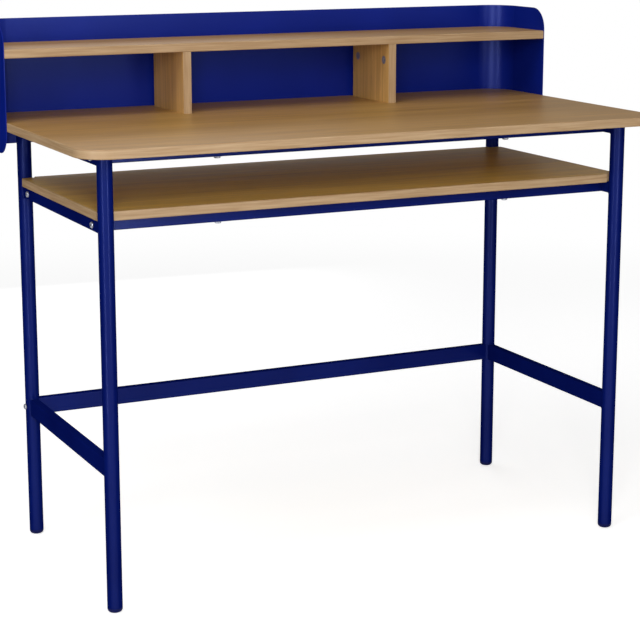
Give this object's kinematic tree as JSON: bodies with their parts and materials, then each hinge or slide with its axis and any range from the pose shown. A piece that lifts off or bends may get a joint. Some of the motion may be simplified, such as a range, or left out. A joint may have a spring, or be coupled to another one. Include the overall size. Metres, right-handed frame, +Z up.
{
  "type": "desk",
  "caption": "Writing desk with an oak-look top, an open shelf under it and a raised shelf with cubbies inside a bent blue steel back panel, on a round-leg frame.",
  "frame": {"origin": "on the floor, under the middle of the desk's bounding box", "axes": "+X to the sitter's right along the desk's width, +Y from the sitter to the back panel, +Z up"},
  "size_m": [1.0676, 0.5588, 0.925],
  "materials": {
    "oak_boards": "satin oak-look laminate, grain along the width",
    "oak_dividers": "satin oak-look laminate, upright grain",
    "blue_panel": "satin dark blue powder coat",
    "blue_legs": "satin dark blue powder coat",
    "blue_tubes": "satin dark blue powder coat",
    "foot_plastic": "moulded dark plastic",
    "zinc_fasteners": "zinc plated",
    "panel_fasteners": "zinc plated",
    "nut_steel": "bare steel",
    "cam_zinc": "die-cast zinc",
    "pin_steel": "zinc plated",
    "beech_dowels": "fluted beech, unfinished"
  },
  "bodies": {
    "root": {"desktop": "oak_boards", "upper_shelf": "oak_boards", "lower_shelf": "oak_boards", "left_divider": "oak_dividers", "right_divider": "oak_dividers", "back_panel": "blue_panel", "front_left_leg": "blue_legs", "front_right_leg": "blue_legs", "rear_left_leg": "blue_legs", "rear_right_leg": "blue_legs", "left_top_rail": "blue_tubes", "left_shelf_rail": "blue_tubes", "right_top_rail": "blue_tubes", "right_shelf_rail": "blue_tubes", "front_top_rail": "blue_tubes", "front_shelf_rail": "blue_tubes", "rear_top_rail": "blue_tubes", "rear_shelf_rail": "blue_tubes", "left_stretcher": "blue_tubes", "right_stretcher": "blue_tubes", "rear_stretcher": "blue_tubes", "front_left_foot": "foot_plastic", "front_right_foot": "foot_plastic", "rear_left_foot": "foot_plastic", "rear_right_foot": "foot_plastic", "top_rail_bolts": "zinc_fasteners", "shelf_rail_bolts": "zinc_fasteners", "stretcher_bolts": "zinc_fasteners", "desktop_screws": "zinc_fasteners", "lower_shelf_screws": "zinc_fasteners", "panel_side_screws": "panel_fasteners", "panel_rear_screws": "panel_fasteners", "top_rail_nuts": "nut_steel", "shelf_rail_nuts": "nut_steel", "stretcher_nuts": "nut_steel", "cam_locks": "cam_zinc", "cam_pins": "pin_steel", "divider_dowels": "beech_dowels"}
  },
  "joints": []
}
